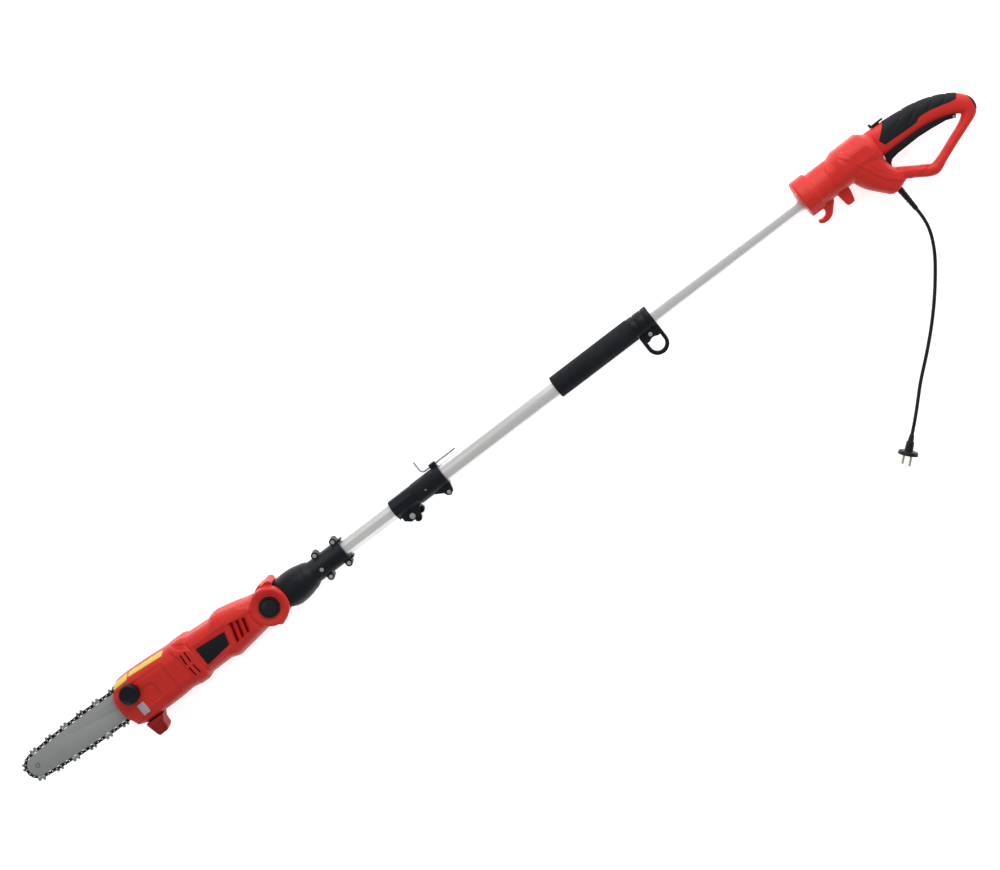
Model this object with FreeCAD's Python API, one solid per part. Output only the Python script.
import FreeCAD, Part
import math
import os

# Telescoping pole saw, corded, lying on its side.
# Tool frame while modelling: x runs along the pole towards the rear handle, y towards the tool's
# top side, z towards the sprocket cover.  The pole's axis is y = 0, z = 0.  At the end every piece
# is moved so that the origin is the middle of the tool's footprint on the ground.

V = FreeCAD.Vector
X = V(1, 0, 0)
Y = V(0, 1, 0)
Z = V(0, 0, 1)

# ---- driving dimensions, mm ----
restHalfDepth = 38.0            # pole axis to the side that the tool lies on
shellWall = 2.5                 # moulded casing wall
slipClearance = 0.3             # gap between parts that move past each other
fitClearance = 0.05             # radial running clearance of shafts in bores
seatGap = 0.2                   # gap round loose parts held in a casing

# telescoping pole
outerTubeDiameter = 35.0
outerTubeWall = 1.5
outerTubeStart = 345.0
outerTubeLength = 917.0
innerTubeWall = 1.5
innerTubeStart = 104.0
innerTubeLength = 996.0
tubeSlip = 0.03                 # between the inner tube's corners and the outer tube
outerTubeRadius = outerTubeDiameter / 2
outerTubeEnd = outerTubeStart + outerTubeLength
innerTubeCorner = outerTubeRadius - outerTubeWall - tubeSlip
innerTubeAcross = 2 * innerTubeCorner * math.cos(math.pi / 8)
innerTubeEnd = innerTubeStart + innerTubeLength
leadRadius = 3.6                # straight lead inside the inner tube
coilGap = 2.25                  # between the coiled lead and the inner tube
coilLength = 280.0
coilRadius = innerTubeAcross / 2 - innerTubeWall - coilGap

# telescope clamp
sleeveStart = 287.0
sleeveShoulder = 336.0
sleeveEnd = 401.0
sleeveWall = 3.0                # over the outer tube
sleeveFrontWall = 4.25          # over the inner tube
sleeveRadius = outerTubeRadius + sleeveWall
sleeveAcross = innerTubeAcross + 2 * sleeveFrontWall
pinchHalfDepth = 11.0
starKnobRadius = 21.0
starKnobLobes = 5
clampBoltRadius = 3.0
hexKeyAcross = 4.0
hexKeyY = outerTubeRadius + 6.5
clampBolt = (sleeveStart + 23, -(sleeveAcross / 2 + 7))
sleeveScrew = (sleeveEnd - 12, -(sleeveRadius + 11.5))

# front grip and strap collar
foamStart = 657.0
foamLength = 171.0
foamWall = 4.0
foamRadius = outerTubeRadius + foamWall
collarWidth = 42.0
collarWall = 3.0
collarRadius = outerTubeRadius + collarWall
eyeDepth = collarRadius + 47.5
eyeWall = 7.0
eyeHalfThickness = 4.5

# head, bar and chain
pivotX = 3.0
pivotY = 3.0
drumRadius = 36.8
tongueRadius = 30.0
tongueHalfDepth = 19.5
headFront = -339.0
coverRear = -206.0
coverSeat = 14.0                # height of the face that the sprocket cover closes on
spindleX = -258.0
spindleY = 21.0
spindleRadius = 5.0
motorShaftRadius = 3.2
motorRadius = 25.5
motorAxisZ = -7.0
barPlane = 22.0
barThickness = 4.0
barGroove = 1.5
barTilt = 1.5                   # degrees that the bar points up from the pole
barHalfHeight = 26.8
barNoseRadius = 20.0
barNoseCentre = 274.0           # from the sprocket's centre
barTail = 25.0
rivetHeight = 3.4               # rivet line above the bar's edge
sprocketPitchRadius = 18.6
chainGauge = 1.3
strapThickness = 1.1
knobX = -301.0
knobY = 33.0
knobRadius = 19.5
studRadius = 4.0
crownTeeth = 32
pinionTeeth = 8
toothModule = 1.25
lockButtonRadius = 19.5
pivotSleeveRadius = 14.0
lockStemRadius = 10.5
headScrewRadius = 1.9
noseSprocketRadius = 14.6
oilCapRadius = 12.0
oilCapX = -319.0
oilCapY = 11.0
chainPitch = 9.525              # nominal distance between rivets

# neck
neckBellyRadius = 33.0
neckWall = 5.53                 # over the inner tube's corners
neckCollarRadius = innerTubeCorner + neckWall
neckEnd = 172.0
neckScrewRadius = 2.0
neckBosses = [(x, side * (neckCollarRadius + 3)) for side in (1, -1) for x in (neckEnd - 50, neckEnd - 8)]
neckFaceScrew = (neckEnd - 53, -2.5)

# rear handle
tubeInHandle = 62.0
handleFront = outerTubeEnd - tubeInHandle
handleCollarRadius = 35.0
handleCollarLength = 28.0
handleBarrelRadius = 31.5
handleDepth = restHalfDepth - 0.5
skirtHalfDepth = 22.0
gripHalfDepth = 16.0
overmouldThickness = 3.0
overmouldProud = 0.8
triggerHalfDepth = 7.0
triggerPinRadius = 2.0
triggerPivotX = 294.0           # from the handle's front
triggerPivotY = -43.0

# cord and plug
cordRadius = 3.25
plugFlangeRadius = 19.0
pinRadius = 2.4
pinLength = 19.0
pinSpacing = 19.0
reliefLength = 46.0
plugAxisZ = plugFlangeRadius - restHalfDepth

# The cord's route from the strain relief's tip to the plug, chosen by hand, from the handle's front.
cordRoute = [V(handleFront + x, y, z) for x, y, z in (
    (152.0, -136.0, -6.0),
    (153.6, -156.8, -8.0),
    (150.0, -187.0, -18.0),
    (136.0, -224.0, -30.0),
    (113.0, -259.0, -34.7),
    (86.0, -294.0, -34.7),
    (53.0, -331.0, -34.7),
    (15.0, -368.0, -34.7),
    (-20.0, -398.0, -31.5),
    (-50.5, -428.5, -24.0),
    (-74.0, -450.5, plugAxisZ),
    (-88.5, -464.0, plugAxisZ),
)]

# outlines seen from the cover side, (x, y)
badgeOutline = [(-153.5, -12.5), (-99, -6.5), (-91, 17.5), (-153.5, 24)]
windowOutline = [(-308, -16.5), (-293, -16.5), (-293, 6.5), (-308, 6.5)]

farAway = 4000.0                # half size of a box that takes in the whole tool
nodes = {}


# ---- helpers ----
def cylinder(radius, start, end):
    return Part.makeCylinder(radius, (end - start).Length, start, end - start)


def cone(radiusStart, radiusEnd, start, end):
    return Part.makeCone(radiusStart, radiusEnd, (end - start).Length, start, end - start)


def ring(outer, inner, start, end):
    axis = (end - start).normalize()
    return cylinder(outer, start, end).cut(cylinder(inner, start - axis, end + axis))


def box(low, high):
    return Part.makeBox(high[0] - low[0], high[1] - low[1], high[2] - low[2], V(*low))


def polygonWire(points, z):
    corners = [V(p[0], p[1], z) for p in points]
    return Part.makePolygon(corners + corners[:1])


def prism(points, low, high):
    return Part.Face(polygonWire(points, low)).extrude(V(0, 0, high - low))


def insetPolygon(points, inset):
    """Moves each edge of an anticlockwise outline inwards by the same distance."""
    moved = []
    count = len(points)
    for i in range(count):
        before = points[i - 1]
        here = points[i]
        after = points[(i + 1) % count]
        inTurn = math.atan2(here[1] - before[1], here[0] - before[0])
        outTurn = math.atan2(after[1] - here[1], after[0] - here[0])
        half = (outTurn - inTurn) / 2
        middle = inTurn + half + math.pi / 2
        reach = inset / math.cos(half)
        moved.append((here[0] + reach * math.cos(middle), here[1] + reach * math.sin(middle)))
    return moved


def softPrism(points, levels):
    """Stack of outlines, each (height, inset), lofted straight from one to the next."""
    wires = [polygonWire(insetPolygon(points, inset), z) for z, inset in levels]
    return Part.makeLoft(wires, True, True)


def softLevels(depth, softness, wall=0.0):
    """Rounded-over edge on both faces, drawn inwards by a wall for the cavity."""
    profile = [(0.0, 0.9), (0.3, 0.35), (0.75, 0.08), (1.1, 0.0)]
    top = [(depth - wall - drop * softness, wall + inset * softness) for drop, inset in profile]
    return [(-z, inset) for z, inset in top] + [(z, inset) for z, inset in reversed(top)]


def orient(points):
    """The same outline, anticlockwise."""
    area = sum(a[0] * b[1] - b[0] * a[1] for a, b in zip(points, points[1:] + points[:1]))
    return points if area > 0 else points[::-1]


def joined(shapes):
    result = shapes[0]
    for shape in shapes[1:]:
        result = result.fuse(shape)
    return result.removeSplitter()


def separate(shapes):
    return Part.makeCompound(shapes)


def upperHalf(shape):
    return shape.common(box((-farAway, -farAway, 0), (farAway, farAway, farAway)))


def lowerHalf(shape):
    return shape.common(box((-farAway, -farAway, -farAway), (farAway, farAway, 0)))


def octagon(across, startX, endX):
    """Eight-sided bar along the pole with flats facing y and z."""
    corner = across / 2 / math.cos(math.pi / 8)
    points = []
    for i in range(8):
        angle = math.pi / 8 + i * math.pi / 4
        points.append(V(startX, corner * math.cos(angle), corner * math.sin(angle)))
    return Part.Face(Part.makePolygon(points + points[:1])).extrude(V(endX - startX, 0, 0))


def screwAlongZ(x, y, headZ, tipZ, shankRadius):
    """Pan-head screw whose head stands at headZ and whose tip points to tipZ."""
    way = 1 if tipZ > headZ else -1
    headHeight = shankRadius * 1.3
    headTop = V(x, y, headZ)
    headBase = V(x, y, headZ + way * headHeight)
    head = cylinder(shankRadius * 1.9, headTop, headBase)
    slot = box((x - shankRadius * 1.5, y - 0.5, 0), (x + shankRadius * 1.5, y + 0.5, shankRadius * 0.6))
    slot.translate(V(0, 0, headZ if way > 0 else headZ - shankRadius * 0.6))
    return head.cut(slot).fuse(cylinder(shankRadius, headBase, V(x, y, tipZ)))


# ---- head casing ----
headOutline = [
    (headFront, -14), (headFront + 7, -31), (headFront + 21, -35), (-240, -36), (-208, -34),
    (-195, -37), (-172, -38), (-162, -33), (-118, -33), (-100, -39.5), (-60, -34), (-25, -29),
    (-2, -26), (-2, 31), (-20, 36), (-60, 46.5), (-88, 53), (-99, 53.5), (-112, 48.5),
    (-158, 52), (-170, 57), (-192, 57.5), (-206, 57.5), (-250, 61.5), (-290, 64),
    (headFront + 21, 63.5), (headFront + 6, 58), (headFront, 44),
]
headSoftness = 13.0
headBosses = [(-190, 49.5), (-190, -28.5), (-104, -31.5), (-52, -25.5), (-50, 36), (-276, -29.5)]


def headBlank():
    outer = softPrism(headOutline, softLevels(restHalfDepth, headSoftness))
    cavity = softPrism(headOutline, softLevels(restHalfDepth, headSoftness, shellWall))
    cavity = cavity.cut(box((-45, -100, -50), (50, 100, 50)))
    return outer, cavity


def headLugs():
    """Crown and heel that stop the neck at the ends of the tilt."""
    crown = [
        (-12, 28), (-6, 36.5), (3, 41.5), (18, 43.5), (27, 46), (31.5, 43), (34, 38.5), (33, 33.5),
        (22, 28),
    ]
    heel = [(-14, -24), (-6, -36.5), (0, -38.5), (5, -37), (15, -31), (12, -24)]
    return [prism(crown, -24, 24), prism(heel, -24, 24)]


def motorRibs(cavity):
    ribs = []
    for ribX in (-178.0, -130.0):
        slab = box((ribX, -60, -60), (ribX + 3, 70, 60)).common(cavity)
        holeStart = V(ribX - 1, spindleY, motorAxisZ)
        hole = cylinder(motorRadius + seatGap, holeStart, holeStart + X * 5)
        ribs.append(slab.cut(hole))
    bulkhead = box((-64, -60, -60), (-60, 70, 60)).common(cavity)
    hole = cylinder(9.0 + seatGap, V(-65, spindleY, motorAxisZ), V(-59, spindleY, motorAxisZ))
    ribs.append(bulkhead.cut(hole))
    return ribs


def coverRegion(gap):
    return box((-400, -100, coverSeat + gap), (coverRear - gap, 100, 60))


def barPlacement():
    """Sprocket at the origin and the bar along +x, turned to where it sits on the head."""
    turn = FreeCAD.Rotation(Z, 180 - barTilt)
    return FreeCAD.Placement(V(spindleX, spindleY, barPlane), turn)


def placedOnBar(shape):
    copy = shape.copy()
    copy.Placement = barPlacement().multiply(shape.Placement)
    return copy


def makeHeadShells():
    outer, cavity = headBlank()
    drum = cylinder(drumRadius, V(pivotX, pivotY, -restHalfDepth), V(pivotX, pivotY, restHalfDepth))
    full = joined([outer, drum] + headLugs())
    seatPlate = box((-400, -100, coverSeat - 3), (coverRear - 1.5, 100, 60))
    cavityBody = cavity.cut(seatPlate)
    full = full.cut(cavityBody).cut(coverRegion(0))
    full = joined([full] + motorRibs(cavityBody))
    slotHalf = tongueHalfDepth + 0.5
    slot = cylinder(drumRadius + 0.6, V(pivotX, pivotY, -slotHalf), V(pivotX, pivotY, slotHalf))
    full = full.cut(slot)
    for x, y in headBosses:
        bossTop = coverSeat - 3 if x < coverRear else restHalfDepth - 2
        full = full.fuse(cylinder(4.5, V(x, y, 2 - restHalfDepth), V(x, y, bossTop)))
    full = full.removeSplitter()
    barPad = box((knobX - 20, knobY - 9, coverSeat - 1), (knobX + 20, knobY + 9, barPlane - barThickness / 2))
    full = full.fuse(barPad)
    farSide = restHalfDepth + 2
    cuts = []
    for x, y in headBosses:
        cuts.append(cylinder(headScrewRadius + 0.1, V(x, y, -farSide), V(x, y, 9.5)))
        cuts.append(cylinder(headScrewRadius * 1.9 + 0.3, V(x, y, -farSide), V(x, y, 4 - restHalfDepth)))
    cuts.append(cylinder(studRadius + fitClearance, V(knobX, knobY, 8), V(knobX, knobY, 30)))
    cuts.append(cylinder(9.6, V(spindleX, spindleY, 9), V(spindleX, spindleY, 16)))
    cuts.append(cylinder(4.5, V(-50, 12, -4), V(-30, 6, -4)))
    pivotAt = V(pivotX, pivotY, 0)
    buttonFloor = restHalfDepth - 12.5
    cuts.append(cylinder(lockButtonRadius + slipClearance, pivotAt + Z * buttonFloor, pivotAt + Z * 60))
    cuts.append(cylinder(lockStemRadius + fitClearance, pivotAt + Z * 15, pivotAt + Z * 60))
    sleeveFloor = pivotAt - Z * (restHalfDepth - 4)
    cuts.append(cylinder(pivotSleeveRadius, sleeveFloor, pivotAt + Z * (restHalfDepth - 14)))
    capAt = V(oilCapX, oilCapY, -farSide)
    cuts.append(cylinder(oilCapRadius + slipClearance, capAt, capAt + Z * 8.5))
    cuts.append(cylinder(9.3, capAt, capAt + Z * 10))
    cuts.append(prism(badgeOutline, restHalfDepth - 1.2, 60))
    cuts += [prism(outline, restHalfDepth - 8, 60) for outline in louvreOutlines() + ventOutlines()]
    cuts.append(box((-332, 10.5, coverSeat - 3.5), (-284, 19.5, coverSeat + 6)))
    for cut in cuts:
        full = full.cut(cut)
    nodes["head_shell_right"] = upperHalf(full)
    nodes["head_shell_left"] = lowerHalf(full)


def louvreOutlines():
    slots = []
    for i in range(3):
        low = -86 + 13 * i
        lift = 12 - 1.5 * i
        top = 23 - 3 * i
        slots.append([(low, -13 + i), (low + 7, -12 + i), (low + 7 + lift, top - 1), (low + lift, top)])
    return slots


def ventOutlines():
    slots = []
    for x in (-184.0, -174.5):
        slots.append([(x - 1.5, 11), (x + 1.5, 11), (x + 3, 33), (x, 33)])
        slots.append([(x, -15), (x + 3, -15), (x + 1.5, 5), (x - 1.5, 5)])
    return slots


def makeHeadFasteners():
    screws = [screwAlongZ(x, y, 1.5 - restHalfDepth, 8.5, headScrewRadius) for x, y in headBosses]
    nodes["head_screws"] = separate(screws)
    plate = prism(insetPolygon(badgeOutline, 0.3), restHalfDepth - 1.1, restHalfDepth + 0.2)
    nodes["badge_plate"] = plate


# ---- sprocket cover, knob, stops ----
def makeSprocketCover():
    outer, _ = headBlank()
    inner = softPrism(headOutline, softLevels(restHalfDepth, headSoftness, shellWall))
    inner = inner.common(box((-400, -100, 0), (coverRear - shellWall - 0.5, 100, 60)))
    cover = outer.common(coverRegion(0.1)).cut(inner)
    bossStart = V(knobX, knobY, barPlane + barThickness / 2 + 0.05)
    boss = cylinder(9, bossStart, V(knobX, knobY, restHalfDepth - 1))
    cover = cover.fuse(boss)
    cover = cover.cut(cylinder(studRadius + 0.4, V(knobX, knobY, 0), V(knobX, knobY, 60)))
    mouth = box((headFront - 5, -16, coverSeat - 1), (headFront + 23, 60.5, barPlane + 8))
    cover = cover.cut(mouth)
    cover = cover.cut(prism(windowOutline, 20, 60))
    panel = prism([(-279, -8), (-257, -8), (-257, 24), (-279, 26)], restHalfDepth - 0.8, restHalfDepth + 1)
    nodes["sprocket_cover"] = cover.cut(panel)
    pane = prism(insetPolygon(windowOutline, seatGap), restHalfDepth - 3.0, restHalfDepth + 0.1)
    nodes["sight_window"] = pane


def ribbedDisc(radius, ribs, depth, ribRadius, low, high, x, y):
    disc = cylinder(radius, V(x, y, low), V(x, y, high))
    for i in range(ribs):
        angle = 2 * math.pi * i / ribs
        reach = radius + ribRadius - depth
        centre = V(x + reach * math.cos(angle), y + reach * math.sin(angle), low - 1)
        disc = disc.cut(cylinder(ribRadius, centre, centre + V(0, 0, high - low + 2)))
    return disc


def makeCoverKnob():
    base = restHalfDepth + slipClearance
    top = base + 15
    knob = ribbedDisc(knobRadius, 18, 1.0, 1.6, base, top, knobX, knobY)
    knob = knob.cut(cylinder(studRadius + fitClearance, V(knobX, knobY, 30), V(knobX, knobY, top - 3)))
    knob = knob.cut(ring(knobRadius - 3, 9, V(knobX, knobY, top - 2), V(knobX, knobY, top + 5)))
    nodes["cover_knob"] = knob
    stud = cylinder(studRadius, V(knobX, knobY, 9), V(knobX, knobY, top - 4))
    foot = cylinder(7, V(knobX, knobY, coverSeat - 6), V(knobX, knobY, coverSeat - 3))
    nodes["bar_stud"] = stud.fuse(foot)


def makeBranchStop():
    outline = [
        (-321, -34.6), (-318, -50), (-315, -63), (-312, -65), (-296, -65), (-292, -61), (-290, -46),
        (-283, -35.6), (-283, -30), (-321, -30),
    ]
    stop = prism(outline, -8, 26).cut(headBlank()[0])
    for row in range(3):
        for column in range(2):
            x = -315 + 12 * column
            y = -44 - 7.5 * row
            stop = stop.cut(box((x, y - 4.5, 24.5), (x + 9.5, y + 1, 27)))
    nodes["branch_stop"] = stop


# ---- guide bar and chain ----
def barEdge(offset):
    """Outline of the bar, or of a line that runs outside it by the offset, as a closed wire."""
    nose = barNoseRadius + offset
    joinAngle = math.radians(84)
    noseTop = V(barNoseCentre + nose * math.cos(joinAngle), nose * math.sin(joinAngle), 0)
    tailTop = V(barTail + 20, barHalfHeight - 1.3 + offset, 0)
    middleTop = V(150, barHalfHeight + offset, 0)
    noseLow, middleLow, tailLow = [V(p.x, -p.y, 0) for p in (noseTop, middleTop, tailTop)]
    top = Part.Arc(tailTop, middleTop, noseTop)
    front = Part.Arc(noseTop, V(barNoseCentre + nose, 0, 0), noseLow)
    bottom = Part.Arc(noseLow, middleLow, tailLow)
    return top, front, bottom, tailTop, tailLow


def barFace(offset):
    top, front, bottom, tailTop, tailBottom = barEdge(offset)
    heel = V(barTail - min(offset, 0), 17 + offset, 0)
    heelLow = V(barTail - min(offset, 0), -17 - offset, 0)
    back = [Part.makeLine(tailBottom, heelLow), Part.makeLine(heelLow, heel), Part.makeLine(heel, tailTop)]
    wire = Part.Wire([top.toShape(), front.toShape(), bottom.toShape()] + back)
    return Part.Face(wire)


def localOnBar(point):
    return barPlacement().inverse().multVec(point)


def makeGuideBar():
    half = barThickness / 2
    plate = barFace(0).extrude(V(0, 0, barThickness))
    plate.translate(V(0, 0, -half))
    core = barFace(-6.5).extrude(V(0, 0, barGroove))
    core.translate(V(0, 0, -barGroove / 2))
    web = barFace(1.0).extrude(V(0, 0, barGroove))
    web.translate(V(0, 0, -barGroove / 2))
    plate = plate.cut(web.cut(core))
    noseAt = V(barNoseCentre, 0, -barGroove / 2)
    nose = cylinder(noseSprocketRadius + 0.4, noseAt, noseAt + Z * barGroove)
    hub = cylinder(4.0, noseAt, noseAt + Z * barGroove)
    plate = plate.cut(nose.cut(hub))
    stud = localOnBar(V(knobX, knobY, barPlane))
    slotHalf = V(14.0, studRadius + seatGap, 5)
    slot = box(tuple(V(stud.x, stud.y, 0) - slotHalf), tuple(V(stud.x, stud.y, 0) + slotHalf))
    pin = localOnBar(V(-316, 15, barPlane))
    hole = cylinder(2.6, V(pin.x, pin.y, -5), V(pin.x, pin.y, 5))
    nodes["guide_bar"] = placedOnBar(plate.cut(slot).cut(hole))


def makeNoseSprocket():
    outer = cylinder(noseSprocketRadius, V(0, 0, -0.6), V(0, 0, 0.6))
    for i in range(8):
        angle = math.pi / 4 * i
        reach = noseSprocketRadius + 1.2
        centre = V(reach * math.cos(angle), reach * math.sin(angle), -1)
        outer = outer.cut(cylinder(3.0, centre, centre + V(0, 0, 2)))
    sprocket = outer.cut(cylinder(4.0 + fitClearance, V(0, 0, -1), V(0, 0, 1)))
    sprocket.translate(V(barNoseCentre, 0, 0))
    nodes["nose_sprocket"] = placedOnBar(sprocket)


def chainLine():
    """Closed line of the chain's rivets, as points close together along the loop."""
    top, front, bottom, tailTop, tailBottom = barEdge(rivetHeight)
    reach = sprocketPitchRadius
    distance = math.hypot(tailTop.x, tailTop.y)
    lean = math.atan2(tailTop.y, tailTop.x) + math.acos(reach / distance)
    touch = V(reach * math.cos(lean), reach * math.sin(lean), 0)
    touchLow = V(touch.x, -touch.y, 0)
    wrap = Part.Arc(touchLow, V(-reach, 0, 0), touch)
    edges = [
        Part.makeLine(touch, tailTop), top.toShape(), front.toShape(), bottom.toShape(),
        Part.makeLine(tailBottom, touchLow), wrap.toShape(),
    ]
    points = []
    for edge in edges:
        steps = max(2, int(edge.Length))
        span = edge.LastParameter - edge.FirstParameter
        points += [edge.valueAt(edge.FirstParameter + span * i / steps) for i in range(steps)]
    return points


def evenlySpaced(points):
    """Rivet centres round the loop, two for each drive link, and the distance between them."""
    lengths = [0.0]
    closed = points + points[:1]
    for a, b in zip(closed, closed[1:]):
        lengths.append(lengths[-1] + (b - a).Length)
    count = 2 * 2 * round(lengths[-1] / (4 * chainPitch))
    spaced = []
    k = 0
    for i in range(count):
        want = lengths[-1] * i / count
        while lengths[k + 1] < want:
            k += 1
        share = (want - lengths[k]) / (lengths[k + 1] - lengths[k])
        spaced.append(closed[k] + (closed[k + 1] - closed[k]) * share)
    return spaced, lengths[-1] / count


def linkPlate(outline, start, end, low, high, holeRadius):
    """Chain plate between two rivets: outline in (along, outward) about the rivets' middle."""
    middle = (start + end) * 0.5
    along = (end - start).normalize()
    outward = V(along.y, -along.x, 0)
    points = [middle + along * p[0] + outward * p[1] for p in outline]
    plate = prism([(p.x, p.y) for p in points], low, high)
    if holeRadius:
        for centre in (start, end):
            plate = plate.cut(cylinder(holeRadius, centre + Z * (low - 1), centre + Z * (high + 1)))
    return plate


def makeChain():
    rivets, pitch = evenlySpaced(chainLine()[::-1])
    chainPairs = len(rivets) // 2
    print("chain rivet pitch %.3f mm" % pitch)
    half = chainGauge / 2
    outside = half + strapThickness
    drive = [(-7.2, -2.4), (7.2, -2.4), (7.0, 1.6), (3.0, 3.0), (-3.0, 3.0), (-7.0, 1.6)]
    tang = [(-4.5, -2.4), (-1.5, -6.8), (0.5, -6.8), (5.0, -2.4)]
    strap = [(-7.4, -2.8), (7.4, -2.8), (7.6, 1.4), (3.5, 3.2), (-3.5, 3.2), (-7.6, 1.4)]
    cutter = [
        (-7.4, -2.8), (7.4, -2.8), (7.6, 3.0), (5.6, 7.6), (2.6, 7.8), (1.8, 4.4), (-1.2, 5.0),
        (-2.2, 7.6), (-7.2, 7.0),
    ]
    hub = 2.0
    driveLinks = []
    straps = []
    cutters = []
    for k in range(chainPairs):
        a = rivets[2 * k]
        b = rivets[2 * k + 1]
        c = rivets[(2 * k + 2) % (2 * chainPairs)]
        body = linkPlate(drive, a, b, -half, half, hub)
        driveLinks.append(body.fuse(linkPlate(tang, a, b, -half, half, 0)))
        left = k % 4 == 0
        right = k % 4 == 2
        for side, isCutter in ((1, left), (-1, right)):
            low, high = (half, outside) if side > 0 else (-outside, -half)
            plate = linkPlate(cutter if isCutter else strap, b, c, low, high, 0)
            for centre in (b, c):
                stub = cylinder(hub - 0.1, centre, centre + Z * (side * (outside + 0.5)))
                plate = plate.fuse(stub)
            (cutters if isCutter else straps).append(plate)
    nodes["chain_drive_links"] = placedOnBar(separate(driveLinks))
    nodes["chain_tie_straps"] = placedOnBar(separate(straps))
    nodes["chain_cutters"] = placedOnBar(separate(cutters))


# ---- gears, motor and oil ----
def makeSpindle():
    centre = V(spindleX, spindleY, 0)
    nodes["spindle"] = cylinder(spindleRadius, centre + Z * -24, centre + Z * 29)
    flange = barGroove / 2 + 0.1
    hub = cylinder(9.0, centre + Z * (barPlane - 4.5), centre + Z * (barPlane + 4.5))
    for low, high in ((barPlane - 3.2, barPlane - flange), (barPlane + flange, barPlane + 3.2)):
        hub = hub.fuse(cylinder(sprocketPitchRadius - 3.6, centre + Z * low, centre + Z * high))
    for i in range(6):
        angle = math.pi / 3 * i
        window = centre + V(12.0 * math.cos(angle), 12.0 * math.sin(angle), 10)
        hub = hub.cut(cylinder(1.8, window, window + Z * 20))
    nodes["drive_sprocket"] = hub.cut(cylinder(spindleRadius, centre, centre + Z * 40))
    crownBase = motorAxisZ + toothModule * (pinionTeeth / 2 + 1) + seatGap
    tipHeight = motorAxisZ + toothModule * (pinionTeeth / 2 - 0.6)
    pitchRadius = toothModule * crownTeeth / 2
    gear = cylinder(pitchRadius + 3, centre + Z * crownBase, centre + Z * (crownBase + 4))
    gear = gear.fuse(cylinder(9, centre + Z * (crownBase + 4), centre + Z * (crownBase + 5)))
    toothWidth = 1.1
    for i in range(crownTeeth):
        low = (pitchRadius - 3, -toothWidth / 2, tipHeight)
        tooth = box(low, (pitchRadius + 3, toothWidth / 2, crownBase + 1))
        tooth.rotate(V(0, 0, 0), Z, (i + 0.5) * 360 / crownTeeth)
        tooth.translate(centre)
        gear = gear.fuse(tooth)
    nodes["crown_gear"] = gear.cut(cylinder(spindleRadius, centre + Z * -30, centre + Z * 30))


def makeArmature():
    def axis(x):
        return V(x, spindleY, motorAxisZ)

    pinionMiddle = spindleX + toothModule * crownTeeth / 2
    shaft = cylinder(motorShaftRadius, axis(pinionMiddle + 3), axis(-56))
    core = cylinder(motorRadius - 9.8, axis(-182), axis(-128))
    for i in range(12):
        slot = box((-183, -0.9, motorRadius - 12), (-127, 0.9, motorRadius))
        slot.rotate(V(0, 0, 0), X, i * 30)
        slot.translate(V(0, spindleY, motorAxisZ))
        core = core.cut(slot)
    commutator = ring(9.0, motorShaftRadius, axis(-112), axis(-98))
    nodes["armature"] = separate([shaft.fuse(core), commutator])
    pinion = cylinder(toothModule * (pinionTeeth / 2 - 1.15), axis(pinionMiddle - 3), axis(pinionMiddle + 3))
    for i in range(pinionTeeth):
        tooth = box((-3, -0.55, 0), (3, 0.55, toothModule * (pinionTeeth / 2 + 0.9)))
        tooth.rotate(V(0, 0, 0), X, i * 360 / pinionTeeth)
        tooth.translate(axis(pinionMiddle))
        pinion = pinion.fuse(tooth)
    nodes["pinion"] = pinion
    fan = ring(7, motorShaftRadius, axis(-206), axis(-196))
    fan = fan.fuse(ring(22, 6, axis(-198), axis(-196)))
    for i in range(9):
        blade = box((-206, -0.7, 6), (-197, 0.7, 22))
        blade.rotate(V(0, 0, 0), X, i * 40)
        blade.translate(V(0, spindleY, motorAxisZ))
        fan = fan.fuse(blade)
    nodes["cooling_fan"] = fan
    stator = ring(motorRadius, motorRadius - 9, axis(-186), axis(-122))
    nodes["stator"] = stator
    brushes = []
    for side in (-1, 1):
        low = spindleY + (9.2 if side > 0 else -21)
        brushes.append(box((-108, low, motorAxisZ - 3), (-102, low + 11.8, motorAxisZ + 3)))
    nodes["brush_holders"] = separate(brushes)
    bore = motorShaftRadius + fitClearance
    return [ring(9.0, bore, axis(-220), axis(-214)), ring(9.0, bore, axis(-64), axis(-59))]


def makeGearCase():
    low = V(-297, -7, -27)
    high = V(-214, 49, coverSeat - 3.2)
    case = box(tuple(low), tuple(high))
    case = case.cut(box((low.x + 2.5, low.y + 2.5, low.z + 5), (high.x - 5.8, high.y - 2.5, high.z - 4)))
    centre = V(spindleX, spindleY, 0)
    case = case.cut(cylinder(9.5, centre + Z * -28, centre + Z * 20))
    case = case.cut(cylinder(9.0, V(-222, spindleY, motorAxisZ), V(-210, spindleY, motorAxisZ)))
    case = case.cut(cylinder(8, V(knobX, knobY, 5), V(knobX, knobY, 20)))
    nodes["gear_case"] = case
    bore = spindleRadius + fitClearance
    return [
        ring(9.5, bore, centre + Z * -27, centre + Z * -21),
        ring(9.5, bore, centre + Z * 6.5, centre + Z * 12.5),
    ]


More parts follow.
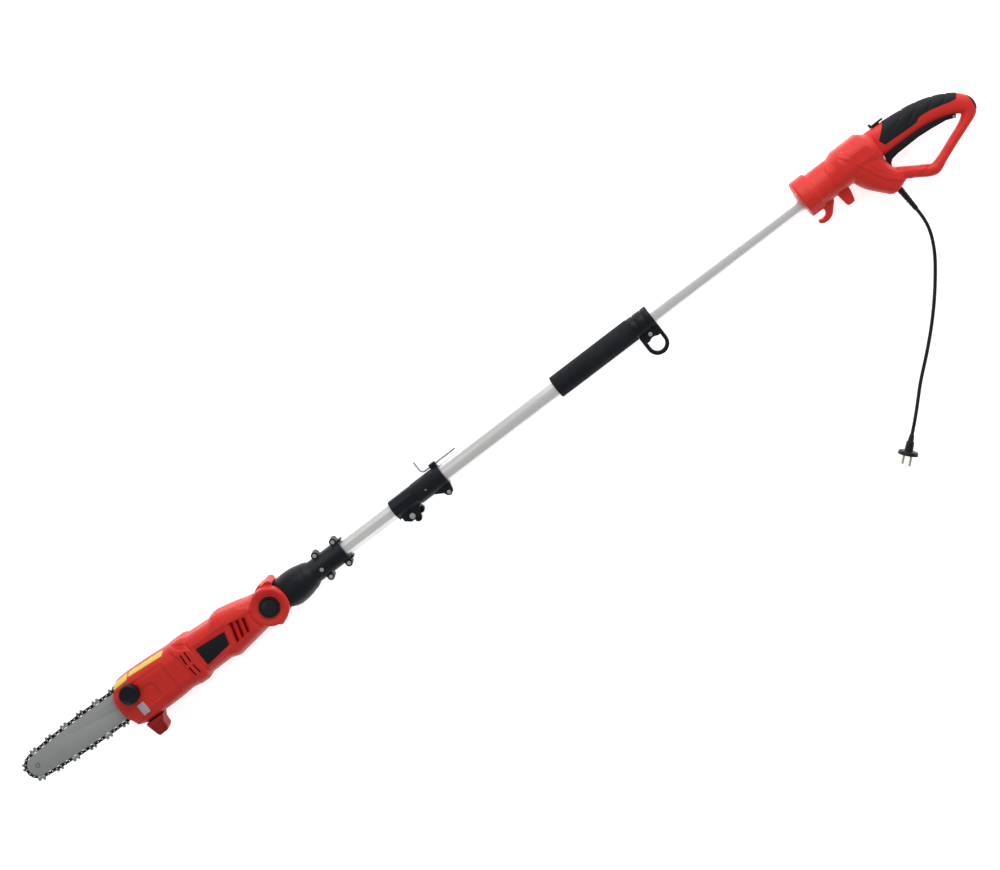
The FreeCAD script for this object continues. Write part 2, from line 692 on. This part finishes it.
def makeOilParts():
    tank = box((-331, -20, -28), (-305, 40, 9)).cut(box((-329.5, -18.5, -26.5), (-306.5, 38.5, 7.5)))
    neckTop = V(oilCapX, oilCapY, 4.5 - restHalfDepth)
    neck = ring(9.0, 7.0, neckTop, V(oilCapX, oilCapY, -27))
    tank = tank.fuse(neck).cut(cylinder(7.0, neckTop - Z, V(oilCapX, oilCapY, -26)))
    tank = tank.cut(cylinder(8, V(knobX, knobY, 5), V(knobX, knobY, 20)))
    nodes["oil_tank"] = tank
    capFace = V(oilCapX, oilCapY, 0.4 - restHalfDepth)
    cap = cylinder(oilCapRadius, capFace, capFace + Z * 3)
    grip = box((oilCapX - 9, oilCapY - 1.5, capFace.z), (oilCapX + 9, oilCapY + 1.5, capFace.z + 1.6))
    pocket = cylinder(9.5, capFace - Z, capFace + Z * 1.6)
    cap = cap.cut(pocket.cut(grip))
    cap = cap.fuse(cylinder(7.0 - fitClearance, capFace + Z * 3, V(oilCapX, oilCapY, -30)))
    nodes["oil_cap"] = cap
    pump = box((-300, -22, -12), (-284, -9, 4)).fuse(cylinder(3, V(-304.8, -15, -4), V(-300, -15, -4)))
    nodes["oil_pump"] = pump.fuse(cylinder(3, V(-292, -9, -4), V(-292, -7, -4)))


def makeTensioner():
    z = barPlane - barThickness / 2 - 3.4
    screw = cylinder(1.9, V(-330, 15, z), V(-286, 15, z))
    nodes["tension_screw"] = screw.fuse(cylinder(3.0, V(-286, 15, z), V(-285, 15, z)))
    block = box((-320, 11.5, z - 3), (-312, 18.5, z + 3))
    pin = cylinder(2.3, V(-316, 15, z + 3), V(-316, 15, barPlane + 1.5))
    nodes["tension_pin"] = block.fuse(pin).cut(cylinder(1.95, V(-340, 15, z), V(-280, 15, z)))


# ---- pivot and neck ----
def makePivot():
    axis = V(pivotX, pivotY, 0)
    sleeveFloor = 4.5 - restHalfDepth
    buttonBase = restHalfDepth - 7
    sleeveTop = restHalfDepth - 14
    sleeveBore = lockStemRadius + fitClearance
    nodes["pivot_sleeve"] = ring(pivotSleeveRadius, sleeveBore, axis + Z * sleeveFloor, axis + Z * sleeveTop)
    disc = cylinder(lockButtonRadius, axis + Z * buttonBase, axis + Z * (buttonBase + 9))
    dome = Part.makeSphere(restHalfDepth + 10, axis)
    domeStart = axis + Z * (buttonBase + 8)
    dome = dome.common(cylinder(lockButtonRadius - 1.2, domeStart, domeStart + Z * 22))
    stem = cylinder(lockStemRadius, axis - Z * 12, axis + Z * buttonBase)
    nodes["lock_button"] = joined([disc, dome, stem])
    nodes["button_spring"] = ring(9.0, 7.5, axis + Z * sleeveFloor, axis - Z * 12.2)


def neckSolid():
    belly = Part.Arc(V(28, neckBellyRadius - 2.5, 0), V(50, neckBellyRadius, 0), V(84, 28, 0)).toShape()
    shoulder = Part.Arc(V(84, 28, 0), V(93, 25.5, 0), V(100, neckCollarRadius, 0)).toShape()
    corners = [V(100, neckCollarRadius, 0), V(neckEnd, neckCollarRadius, 0), V(neckEnd, 0, 0), V(28, 0, 0),
               V(28, neckBellyRadius - 2.5, 0)]
    face = Part.Face(Part.Wire([belly, shoulder] + Part.makePolygon(corners).Edges))
    body = face.revolve(V(0, 0, 0), X, 360)
    body = body.cut(cylinder(drumRadius + 0.9, V(pivotX, pivotY, -60), V(pivotX, pivotY, 60)))
    body = body.cut(prism([(20, -16), (46, -31.5), (46, -45), (20, -45)], -60, 60))
    tongue = cylinder(tongueRadius, V(pivotX, pivotY, -tongueHalfDepth), V(pivotX, pivotY, tongueHalfDepth))
    web = box((pivotX, -22, -tongueHalfDepth), (50, 22, tongueHalfDepth))
    bosses = []
    for x, y in neckBosses:
        bosses.append(cylinder(6.5, V(x, y, -12), V(x, y, 12)))
        bosses.append(box((x - 6.5, min(y, 0), -12), (x + 6.5, max(y, 0), 12)))
    tabs = []
    for side in (-1, 1):
        middle = side * (neckCollarRadius - 2.5)
        tabs.append(box((neckEnd - 2, middle - 2, -9), (neckEnd + 6, middle + 2, 9)))
    return joined([body, tongue, web] + bosses + tabs)


def makeNeck():
    solid = neckSolid()
    solid = solid.cut(octagon(innerTubeAcross + 0.1, innerTubeStart, neckEnd + 20))
    solid = solid.cut(cylinder(11, V(40, 0, 0), V(innerTubeStart + 1, 0, 0)))
    solid = solid.cut(cylinder(leadRadius + 1, V(18, 0, 0), V(60, 0, 0)))
    pivotAt = V(pivotX, pivotY, -60)
    solid = solid.cut(cylinder(pivotSleeveRadius + fitClearance, pivotAt, pivotAt + Z * 120))
    for x, y in neckBosses:
        solid = solid.cut(cylinder(neckScrewRadius + 0.1, V(x, y, -8), V(x, y, 20)))
        solid = solid.cut(cylinder(neckScrewRadius * 1.9 + 0.3, V(x, y, 9.4), V(x, y, 20)))
    faceX, faceY = neckFaceScrew
    faceFloor = neckCollarRadius - 1.9
    solid = solid.cut(cylinder(neckScrewRadius + 0.1, V(faceX, faceY, faceFloor - 4), V(faceX, faceY, 60)))
    solid = solid.cut(cylinder(neckScrewRadius * 1.9 + 0.3, V(faceX, faceY, faceFloor), V(faceX, faceY, 60)))
    nodes["neck_shell_right"] = upperHalf(solid)
    nodes["neck_shell_left"] = lowerHalf(solid)
    screws = [screwAlongZ(x, y, 12.2, -7, neckScrewRadius) for x, y in neckBosses]
    screws.append(screwAlongZ(faceX, faceY, faceFloor + 2.8, faceFloor - 3.8, neckScrewRadius))
    nodes["neck_screws"] = separate(screws)


def makeInnerPole():
    outer = octagon(innerTubeAcross, innerTubeStart, innerTubeEnd)
    inner = octagon(innerTubeAcross - 2 * innerTubeWall, innerTubeStart - 1, innerTubeEnd + 1)
    nodes["inner_tube"] = outer.cut(inner)
    coilEnd = handleFront + 90
    coilStart = coilEnd - coilLength
    nodes["pole_lead"] = cylinder(leadRadius, V(20, 0, 0), V(coilStart, 0, 0))
    nodes["coiled_lead"] = ring(coilRadius, coilRadius - 4, V(coilStart, 0, 0), V(coilEnd, 0, 0))


# ---- telescope clamp ----
def makeClamp():
    bx, by = clampBolt
    sx, sy = sleeveScrew
    front = octagon(sleeveAcross, sleeveStart, sleeveShoulder)
    shoulder = cylinder(sleeveRadius - 1, V(sleeveShoulder - 1, 0, 0), V(sleeveShoulder + 3, 0, 0))
    rear = cylinder(sleeveRadius, V(sleeveShoulder + 3, 0, 0), V(sleeveEnd, 0, 0))
    pinch = [(-18, 10), (-18, 0), (-8, -8), (6, -8), (20, 4), (24, 10)]
    pinch = prism([(bx + x, by + y) for x, y in pinch], -pinchHalfDepth, pinchHalfDepth)
    lug = [(-29, 15), (-9, 3), (-6, -4), (0, -7), (7, -3), (12, 15)]
    lug = prism([(sx + x, sy + y) for x, y in lug], -7, 7)
    holder = box((sleeveEnd - 13, hexKeyY - 7, -6), (sleeveEnd, hexKeyY + 4.5, 6))
    sleeve = joined([front, shoulder, rear, pinch, lug, holder])
    sleeve = sleeve.cut(octagon(innerTubeAcross + 2 * slipClearance, sleeveStart - 1, sleeveShoulder + 10))
    sleeve = sleeve.cut(cylinder(outerTubeRadius, V(outerTubeStart - seatGap, 0, 0), V(sleeveEnd + 1, 0, 0)))
    sleeve = sleeve.cut(cylinder(innerTubeCorner, V(sleeveShoulder + 9, 0, 0), V(sleeveEnd, 0, 0)))
    slit = box((sleeveStart - 1, by - 14, -1.5), (sleeveShoulder - 4, 1 - innerTubeAcross / 2, 1.5))
    sleeve = sleeve.cut(slit)
    sleeve = sleeve.cut(cylinder(clampBoltRadius + 0.1, V(bx, by, -40), V(bx, by, 40)))
    sleeve = sleeve.cut(cylinder(2.1, V(sx, sy, -5), V(sx, sy, 20)))
    sleeve = sleeve.cut(cylinder(2.5, V(359, -2, outerTubeRadius - 0.5), V(359, -2, sleeveRadius + 10)))
    keyStart = V(sleeveEnd - 21, hexKeyY, 0)
    sleeve = sleeve.cut(cylinder(hexKeyAcross / math.sqrt(3) + 0.1, keyStart, keyStart + X * 30))
    nodes["clamp_sleeve"] = sleeve
    boltHead = cylinder(clampBoltRadius + 2.5, V(bx, by, pinchHalfDepth), V(bx, by, pinchHalfDepth + 4))
    nodes["clamp_bolt"] = boltHead.fuse(cylinder(clampBoltRadius, V(bx, by, -26), V(bx, by, pinchHalfDepth)))
    makeStarKnob(bx, by)
    return screwAlongZ(sx, sy, 9.6, -4, 2.0)


def makeStarKnob(x, y):
    lobeTop = -(sleeveAcross / 2 + 1)
    low = lobeTop - 13
    high = -pinchHalfDepth - slipClearance
    knob = cylinder(starKnobRadius - 7, V(x, y, low), V(x, y, lobeTop))
    knob = knob.fuse(cylinder(8.5, V(x, y, lobeTop), V(x, y, high)))
    reach = starKnobRadius - 7
    for i in range(starKnobLobes):
        angle = math.radians(90 + 360 / starKnobLobes * (i + 0.5))
        centre = V(x + reach * math.cos(angle), y + reach * math.sin(angle), low)
        knob = knob.fuse(cylinder(7, centre, centre + Z * (lobeTop - low)))
    nodes["clamp_knob"] = knob.cut(cylinder(clampBoltRadius + fitClearance, V(x, y, -27), V(x, y, 0)))


def makeHexKey():
    """Hexagonal bar bent to an L, held in the sleeve's holder."""
    radius = hexKeyAcross / math.sqrt(3)
    bend = 8.0
    shortArm = 25.0
    corner = V(sleeveEnd - 31, hexKeyY, 0)
    topEnd = corner + Y * shortArm
    arcStart = corner + Y * bend
    arcEnd = corner + X * bend
    middle = corner + V(1, 1, 0) * (bend * (1 - math.sqrt(0.5)))
    path = Part.Wire([
        Part.makeLine(topEnd, arcStart),
        Part.Arc(arcStart, middle, arcEnd).toShape(),
        Part.makeLine(arcEnd, V(sleeveEnd + 45, hexKeyY, 0)),
    ])
    angles = [k * math.pi / 3 for k in range(6)]
    hexagon = [topEnd + V(radius * math.cos(a), 0, radius * math.sin(a)) for a in angles]
    nodes["hex_key"] = path.makePipeShell([Part.makePolygon(hexagon + hexagon[:1])], True, False)


# ---- outer pole ----
def makeOuterPole():
    nodes["outer_tube"] = ring(
        outerTubeRadius, outerTubeRadius - outerTubeWall, V(outerTubeStart, 0, 0), V(outerTubeEnd, 0, 0))
    foamEnd = foamStart + foamLength
    foam = ring(foamRadius, outerTubeRadius, V(foamStart, 0, 0), V(foamEnd, 0, 0))
    ends = [edge for edge in foam.Edges if abs(edge.Length - 2 * math.pi * foamRadius) < 0.5]
    nodes["front_grip"] = foam.makeFillet(2.0, ends[:1])
    return makeStrapCollar(foamEnd)


def makeStrapCollar(start):
    middle = start + collarWidth / 2
    end = start + collarWidth
    body = cylinder(collarRadius, V(start, 0, 0), V(end, 0, 0))
    for grooveX in (start + 11.5, end - 13.5):
        body = body.cut(ring(collarRadius + 1, collarRadius - 1.5, V(grooveX, 0, 0), V(grooveX + 2, 0, 0)))
    half = collarWidth / 2
    straightEnd = -(eyeDepth - half)
    bow = V(middle, straightEnd, -eyeHalfThickness)
    outer = box((start, straightEnd, -eyeHalfThickness), (end, -10, eyeHalfThickness))
    outer = outer.fuse(cylinder(half, bow, bow + Z * (2 * eyeHalfThickness)))
    holeRadius = half - eyeWall
    hole = box((middle - holeRadius, straightEnd, -20), (middle + holeRadius, -(collarRadius + 15.5), 20))
    hole = hole.fuse(cylinder(holeRadius, bow - Z * 20, bow + Z * 40))
    screwY = -(collarRadius + 4.5)
    lug = box((middle - 7, screwY - 4, -9), (middle + 7, -10, 9))
    collar = joined([body, outer, lug]).cut(hole)
    collar = collar.cut(cylinder(outerTubeRadius, V(start - 1, 0, 0), V(end + 1, 0, 0)))
    collar = collar.cut(cylinder(2.1, V(middle, screwY, -20), V(middle, screwY, 20)))
    nodes["strap_collar"] = collar
    return screwAlongZ(middle, screwY, 9 + 2.6, -8.5, 2.0)


# ---- rear handle, drawn from its own front end ----
def atHandle(shape):
    placed = shape.copy()
    placed.translate(V(handleFront, 0, 0))
    return placed


bodyOutline = [(66, -31), (152, -31), (157, -8), (153, 26), (140, 36.5), (88, 36.5), (68, 30)]
skirtOutline = [(88, -24), (99, -42), (124, -78), (134, -85.5), (166, -84), (158, -50), (156, -24)]
loopOutline = [
    (144, -66), (200, -102), (208, -107.5), (218, -109.5), (230, -106), (242, -98.5),
    (300, -74), (330, -64), (338, -54), (340, -38), (335, -24), (320, -9), (300, 2),
    (270, 12), (240, 19.5), (210, 24), (162, 27), (144, 30),
]
openingOutline = [
    (158, -49), (200, -80), (211, -87), (225, -87), (240, -82), (300, -57.5), (306, -52),
    (292, -39), (260, -30), (230, -25.5), (200, -24), (166, -25), (158, -31),
]
gripCavityOutline = [
    (140, -12), (162, -20), (200, -19.5), (230, -21), (260, -25.5), (282, -31.5), (302, -37),
    (311, -31), (308, -14), (294, -4), (266, 5.5), (238, 13), (208, 18), (162, 21), (140, 20),
]
handleScrewSpots = [(24, -25), (102, 27), (110, -52), (218, -98), (322, -48), (136, -77)]


def cableHook():
    """Hook under the collar that the extension lead loops through."""
    outline = [
        (6, -46), (3, -52), (8, -56), (20, -56.5), (29, -53), (46, -34), (46, -28), (22, -28),
        (23, -36), (20, -45), (12, -49),
    ]
    return prism(orient(outline), -6, 6)


def secondTab():
    return prism([(56, -28), (60, -57), (75, -57), (79, -28)], -7, 7)


def makeHandle():
    collar = cylinder(handleCollarRadius, V(0, 0, 0), V(handleCollarLength, 0, 0))
    barrel = cylinder(handleBarrelRadius, V(handleCollarLength - 1, 0, 0), V(75, 0, 0))
    body = softPrism(bodyOutline, softLevels(handleDepth, 12.0))
    skirt = softPrism(skirtOutline, softLevels(skirtHalfDepth, 5.0))
    loop = softPrism(loopOutline, softLevels(gripHalfDepth, 7.0))
    full = joined([collar, barrel, body, skirt, loop, cableHook(), secondTab()])
    full = full.cut(prism(openingOutline, -60, 60))
    cavities = [
        softPrism(bodyOutline, softLevels(handleDepth, 12.0, shellWall)),
        softPrism(skirtOutline, softLevels(skirtHalfDepth, 5.0, shellWall)),
        prism(gripCavityOutline, -12.5, 12.5),
        cylinder(handleBarrelRadius - shellWall, V(tubeInHandle + 4, 0, 0), V(76, 0, 0)),
    ]
    for cavity in cavities:
        full = full.cut(cavity)
    full = full.cut(cylinder(outerTubeRadius, V(-1, 0, 0), V(tubeInHandle + seatGap, 0, 0)))
    full = full.cut(cylinder(14, V(tubeInHandle, 0, 0), V(tubeInHandle + 6, 0, 0)))
    triggerSlot = [(157.5, -52), (305, -52), (305, -36), (280, -22), (157.5, -12)]
    slotHalf = triggerHalfDepth + slipClearance
    full = full.cut(prism(triggerSlot, -slotHalf, slotHalf))
    full = full.cut(box((164, 15, -4.5), (188, 40, 4.5)))
    exitWay = (cordRoute[1] - cordRoute[0]).normalize()
    exitMiddle = cordRoute[0] - exitWay * reliefLength - X * handleFront
    full = full.cut(cylinder(6.1, exitMiddle - exitWay * 20, exitMiddle + exitWay * 12))
    bosses = []
    for x, y in handleScrewSpots:
        bosses.append(cylinder(4.2, V(x, y, -handleBossDepth(x, y)), V(x, y, handleBossDepth(x, y))))
    full = joined([full] + bosses)
    for x, y in handleScrewSpots:
        depth = handleBossDepth(x, y)
        full = full.cut(cylinder(headScrewRadius + 0.1, V(x, y, -60), V(x, y, depth - 3)))
        full = full.cut(cylinder(headScrewRadius * 1.9 + 0.3, V(x, y, -60), V(x, y, -depth + 3)))
    full = full.cut(overmouldRegion(0))
    full = full.cut(bumperRegion(0))
    full = full.cut(cylinder(2.05, V(triggerPivotX, triggerPivotY, -11), V(triggerPivotX, triggerPivotY, 11)))
    nodes["handle_shell_right"] = atHandle(upperHalf(full))
    nodes["handle_shell_left"] = atHandle(lowerHalf(full))
    screws = []
    for x, y in handleScrewSpots:
        depth = handleBossDepth(x, y)
        screws.append(screwAlongZ(x, y, -depth + 0.5, depth - 4, headScrewRadius))
    nodes["handle_screws"] = atHandle(separate(screws))


def handleBossDepth(x, y):
    if x < 60:
        return 22.0
    if y > 0:
        return 33.0
    if x < 150:
        return 20.0
    return gripHalfDepth - 2.0


overmouldOutline = [
    (174, 3), (179, -8.5), (237, -10), (246, -6), (280, -10.5), (310, -18.5), (319, -11),
    (304, 3.5), (270, 16), (240, 23.5), (202, 28),
]


def overmouldRegion(gap):
    """Layer over the top of the grip, 3 mm thick, that stands in a recess in the casing."""
    outer = softPrism(loopOutline, softLevels(gripHalfDepth, 7.0, -overmouldProud))
    depthLeft = overmouldThickness - overmouldProud
    core = softPrism(insetPolygon(loopOutline, depthLeft), softLevels(gripHalfDepth - depthLeft, 5.0))
    patch = prism(insetPolygon(overmouldOutline, gap), -60, 60)
    return outer.cut(core).common(patch)


def makeOvermould():
    nodes["grip_overmould"] = atHandle(overmouldRegion(0.1))


def bumperRegion(gap):
    outline = [(334, -27), (341, -28), (345.5, -38), (344, -50), (338, -57), (333, -55)]
    return prism(insetPolygon(orient(outline), gap), -9 + gap, 9 - gap)


def makeTrigger():
    outline = [
        (159.5, -49), (163, -42), (168, -38), (181, -36), (225, -35), (250, -37), (280, -41),
        (296, -47.5), (300, -43), (294, -38), (280, -32.5), (255, -26), (230, -22), (200, -20.5),
        (170, -21), (161, -25.5), (158.6, -36),
    ]
    pivot = V(triggerPivotX, triggerPivotY, 0)
    pinHalf = 10.5
    trigger = prism(orient(outline), -triggerHalfDepth, triggerHalfDepth)
    trigger = trigger.cut(cylinder(triggerPinRadius + fitClearance, pivot - Z * 20, pivot + Z * 20))
    nodes["trigger"] = atHandle(trigger)
    nodes["trigger_pin"] = atHandle(cylinder(triggerPinRadius, pivot - Z * pinHalf, pivot + Z * pinHalf))
    nodes["trigger_spring"] = atHandle(ring(3.5, 2.6, V(225, -21.4, 0), V(225, 2, 0)))
    switch = box((178, -9, -9), (208, 13, 9)).fuse(box((212, 2, -8), (234, 9, 8)))
    nodes["power_switch"] = atHandle(switch.fuse(box((200, 4, -6), (214, 8, 6))))


def makeLockOff():
    slider = box((168, 27.6, -5.5), (195, 30.6, 5.5)).fuse(box((168, 30.3, -5.5), (171.5, 34.8, 5.5)))
    slider = slider.fuse(box((171, 19.2, -4), (186, 28, 4)))
    nodes["lock_off_slider"] = atHandle(slider.fuse(box((170, 15.5, -5.5), (187, 19.3, 5.5))))


def makeBumper():
    nodes["rear_bumper"] = atHandle(bumperRegion(0.1))


def makeCord():
    tip = cordRoute[0]
    way = (cordRoute[1] - tip).normalize()
    middle = tip - way * reliefLength
    relief = cone(5.6, 5.2, middle - way * 14, middle).fuse(cone(5.9, 4.4, middle, tip))
    for i in range(5):
        at = middle + (tip - middle) * (0.18 + 0.15 * i)
        relief = relief.cut(ring(9, 3.9, at, at + way * 1.5))
    nodes["strain_relief"] = relief
    nodes["power_cord"] = cordTube(cordRoute, cordRadius)
    last = cordRoute[-1]
    way = (last - cordRoute[-2]).normalize()
    collarEnd = last + way * 13
    bodyEnd = collarEnd + way * 18
    flangeEnd = bodyEnd + way * 7
    plug = cone(4.2, 5.5, last, collarEnd).fuse(cone(7.0, 8.0, collarEnd, bodyEnd))
    nodes["plug_body"] = plug.fuse(cone(plugFlangeRadius - 1.5, plugFlangeRadius, bodyEnd, flangeEnd))
    roll = math.radians(60)
    side = V(-way.y, way.x, 0) * math.cos(roll) + Z * math.sin(roll)
    pins = []
    for sign in (-1, 1):
        base = flangeEnd + side * (sign * pinSpacing / 2)
        pins.append(cylinder(pinRadius, base, base + way * pinLength))
    nodes["plug_pins"] = separate(pins)
    pinStarts = [pin.BoundBox.Center - way * (pinLength / 2) for pin in pins]
    print("plug pins from", [tuple(round(c, 3) for c in start) for start in pinStarts])


def cordTube(route, radius):
    """Straight runs joined by tangent arcs, each as large as its runs allow."""
    edges = []
    here = route[0]
    for before, corner, after in zip(route, route[1:], route[2:]):
        into = corner - before
        out = after - corner
        turn = into.getAngle(out)
        reach = 0.45 * min(into.Length, out.Length)
        arcRadius = reach / math.tan(turn / 2)
        print("cord bend %.0f deg, radius %.0f mm" % (math.degrees(turn), arcRadius))
        a = corner - into.normalize() * reach
        b = corner + out.normalize() * reach
        bisector = ((a - corner).normalize() + (b - corner).normalize()).normalize()
        centre = corner + bisector * (arcRadius / math.cos(turn / 2))
        middle = centre - bisector * arcRadius
        edges.append(Part.LineSegment(here, a).toShape())
        edges.append(Part.Arc(a, middle, b).toShape())
        here = b
    edges.append(Part.LineSegment(here, route[-1]).toShape())
    path = Part.Wire(edges)
    circle = Part.Wire([Part.Circle(route[0], route[1] - route[0], radius).toShape()])
    tube = path.makePipeShell([circle], True, False)
    share = tube.Volume / (math.pi * radius ** 2 * path.Length)
    print("cord length %.1f mm, volume over section times length %.4f" % (path.Length, share))
    return tube


makeHeadShells()
makeHeadFasteners()
makeSprocketCover()
makeCoverKnob()
makeBranchStop()
makeGuideBar()
makeNoseSprocket()
makeChain()
makeSpindle()
nodes["ball_bearings"] = separate(makeArmature() + makeGearCase())
makeOilParts()
makeTensioner()
makePivot()
makeNeck()
makeInnerPole()
nodes["pole_screws"] = separate([makeClamp(), makeOuterPole()])
makeHexKey()
makeHandle()
makeOvermould()
makeTrigger()
makeLockOff()
makeBumper()
makeCord()

cordNodes = {"strain_relief", "power_cord", "plug_body", "plug_pins"}


def originShift():
    whole = FreeCAD.BoundBox()
    for name, shape in nodes.items():
        if name not in cordNodes:
            whole.add(shape.BoundBox)
    return V(-(whole.XMin + whole.XMax) / 2, -(whole.YMin + whole.YMax) / 2, restHalfDepth)


shift = originShift()
print("shift to the footprint's middle", tuple(round(c, 3) for c in shift))
os.makedirs("parts", exist_ok=True)
for name, shape in nodes.items():
    placed = shape.copy()
    placed.translate(shift)
    report = (name, len(placed.Solids), placed.isValid(), placed.Volume)
    print("%-20s solids %3d valid %s volume %.0f" % report)
    placed.exportStep("parts/%s.step" % name)
